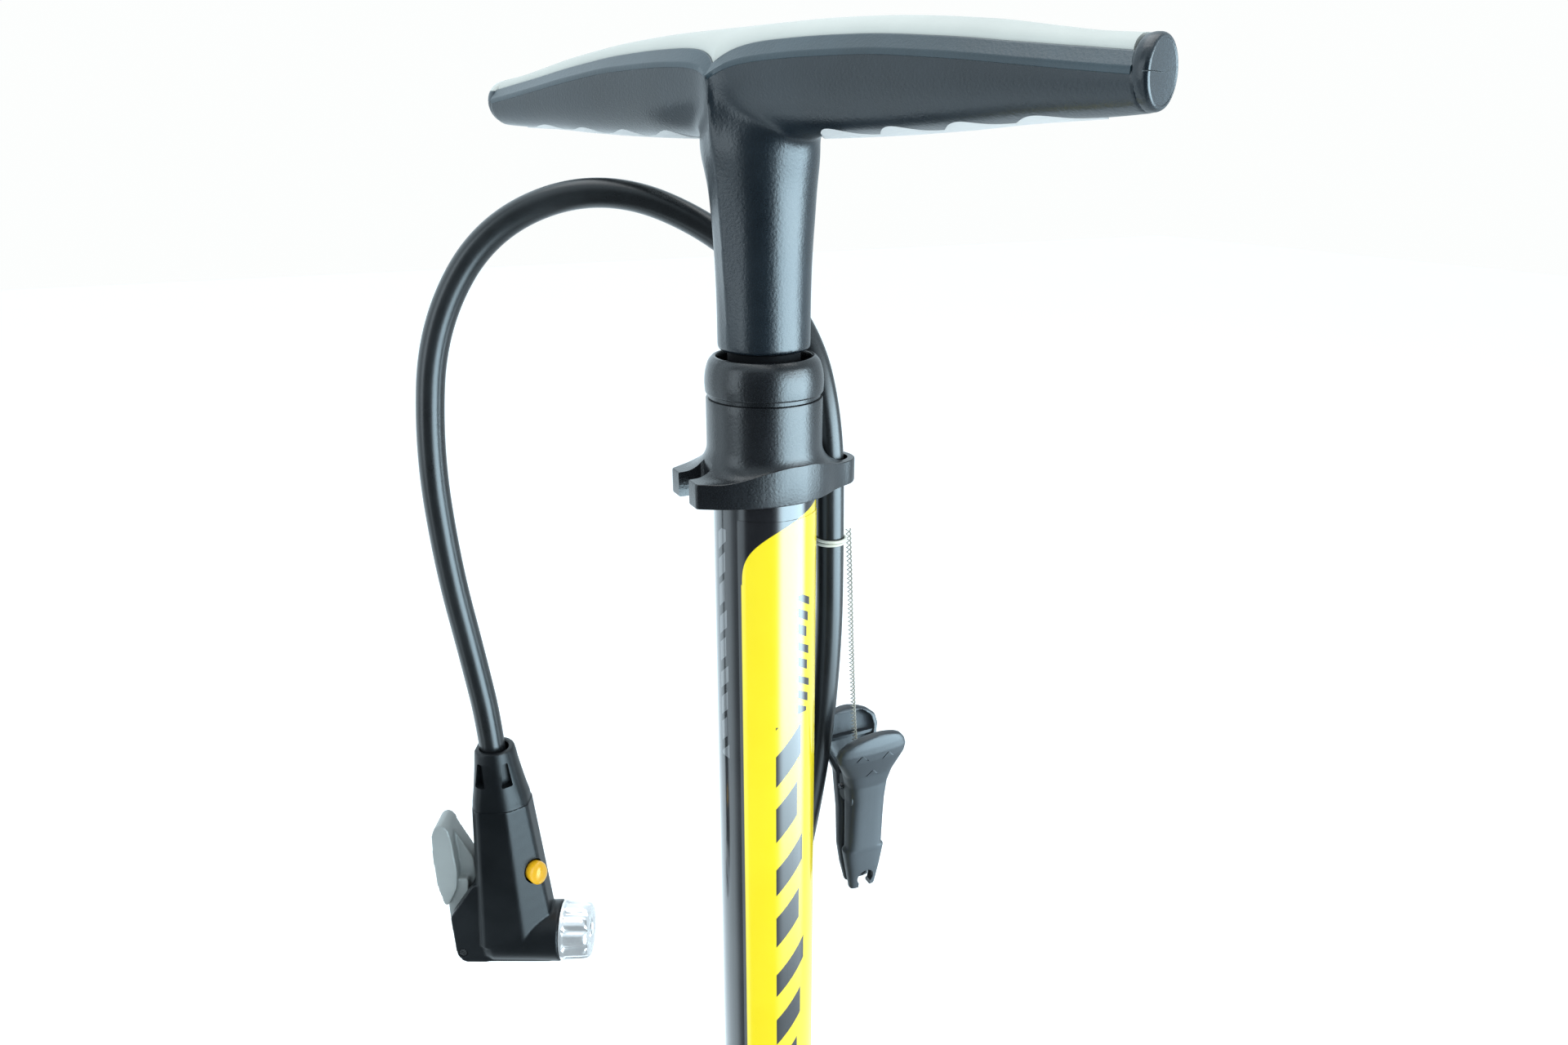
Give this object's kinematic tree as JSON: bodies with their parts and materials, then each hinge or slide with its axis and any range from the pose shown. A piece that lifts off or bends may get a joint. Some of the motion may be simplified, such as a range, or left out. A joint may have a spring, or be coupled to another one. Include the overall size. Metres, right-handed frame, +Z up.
{
  "type": "floor pump",
  "caption": "Standing floor pump for tyres: T handle on a rod, slim barrel on a winged base with a gauge, and a hose with a lever head.",
  "frame": {"origin": "on the floor under the barrel's axis, at the centre foot's underside", "axes": "+Z up along the barrel, -Y to the gauge side, X along the base's two wings"},
  "size_m": [0.246, 0.2432, 0.69],
  "materials": {
    "gloss_black": "gloss black paint",
    "label_yellow": "gloss yellow and black wrap",
    "black_nylon": "fine grained black nylon",
    "handle_grey": "fine grained dark grey nylon",
    "pad_grey": "soft warm grey rubber",
    "grip_grey": "soft light grey rubber",
    "steel": "ground steel",
    "chrome": "chrome plate",
    "brass": "turned brass",
    "hose_rubber": "smooth black rubber",
    "soft_rubber": "black rubber",
    "lever_grey": "light grey nylon",
    "button_yellow": "yellow plastic",
    "base_paint": "satin black paint",
    "tread_grey": "grey rubber tread",
    "dial_white": "white printed dial",
    "needle_red": "red paint",
    "clear_lens": "clear lens",
    "acetal": "white acetal",
    "wire_white": "white and silver twisted wire"
  },
  "bodies": {
    "pump": {"barrel": "gloss_black", "barrel_label": "label_yellow", "barrel_cap": "black_nylon", "rod_bushing": "acetal", "rod_wiper": "soft_rubber", "hose_collar": "black_nylon", "base_plate": "base_paint", "tread_left": "tread_grey", "tread_right": "tread_grey", "rubber_feet": "soft_rubber", "centre_foot": "soft_rubber", "base_housing": "black_nylon", "base_screws": "steel", "barrel_o_ring": "soft_rubber", "valve_seat": "brass", "valve_spring": "steel", "gauge_case": "black_nylon", "gauge_bezel": "black_nylon", "gauge_lens": "clear_lens", "gauge_dial": "dial_white", "pressure_tube": "brass", "hose": "hose_rubber", "hose_port": "brass", "hose_ferrule": "steel", "tie_band": "wire_white", "tie_wire": "wire_white", "head_body": "black_nylon", "head_sleeve": "black_nylon", "valve_nut": "chrome", "head_gasket": "soft_rubber", "lever_pin": "steel", "button_spring": "steel", "clip_rear_jaw": "black_nylon", "clip_pin": "steel", "clip_spring": "steel"},
    "piston": {"piston": "acetal", "piston_seal": "soft_rubber"},
    "handle": {"rod": "steel", "rod_bumper": "soft_rubber", "rod_clip": "steel", "piston_washer": "steel", "piston_screw": "steel", "handle_lower_shell": "handle_grey", "handle_upper_shell": "handle_grey", "handle_top_pad": "pad_grey", "grip_pad_left": "grip_grey", "grip_pad_right": "grip_grey", "handle_screw": "steel"},
    "lever": {"head_lever": "lever_grey"},
    "plunger": {"head_plunger": "acetal"},
    "button": {"release_button": "button_yellow"},
    "clip_jaw": {"clip_front_jaw": "black_nylon"},
    "needle": {"gauge_needle": "needle_red", "gauge_arbor": "brass"},
    "check_disc": {"valve_disc": "acetal"}
  },
  "joints": [
    {"name": "pump_stroke", "type": "slide", "parent": "pump", "child": "piston", "axis": [0, 0, 1], "range_m": [0, 0.48]},
    {"name": "handle_swivel", "type": "hinge", "parent": "piston", "child": "handle", "pos_m": [0, 0, 0.055], "axis": [0, 0, 1], "continuous": true},
    {"name": "head_lock_lever", "type": "hinge", "parent": "pump", "child": "lever", "pos_m": [-0.093, 0.06984, 0.3726], "axis": [-0.4384, -0.8988, 0], "range_deg": [0, 85]},
    {"name": "head_plunger_push", "type": "slide", "parent": "pump", "child": "plunger", "axis": [0.8988, -0.4384, 0], "range_m": [0, 0.0024]},
    {"name": "release_button_press", "type": "slide", "parent": "pump", "child": "button", "axis": [-0.4067, 0.9135, 0], "range_m": [0, 0.0015], "stiffness_N_per_m": 300, "springref_m": -0.002},
    {"name": "clip_open", "type": "hinge", "parent": "pump", "child": "clip_jaw", "pos_m": [0.0362, 0.001, 0.444], "axis": [-1, 0, 0], "range_deg": [0, 16], "stiffness_Nm_per_rad": 0.12, "springref_deg": -20.05},
    {"name": "gauge_needle_sweep", "type": "hinge", "parent": "pump", "child": "needle", "pos_m": [0, -0.056, 0.033], "axis": [0, 0.6428, -0.766], "range_deg": [0, 270], "stiffness_Nm_per_rad": 0.0002},
    {"name": "check_valve_lift", "type": "slide", "parent": "pump", "child": "check_disc", "axis": [0, 0, -1], "range_m": [0, 0.0012], "stiffness_N_per_m": 60, "springref_m": -0.002, "deforming": ["valve_spring"]}
  ],
  "couplings": [
    {"joint": "head_plunger_push", "follows": "head_lock_lever", "m_per_rad": 0.0015}
  ]
}
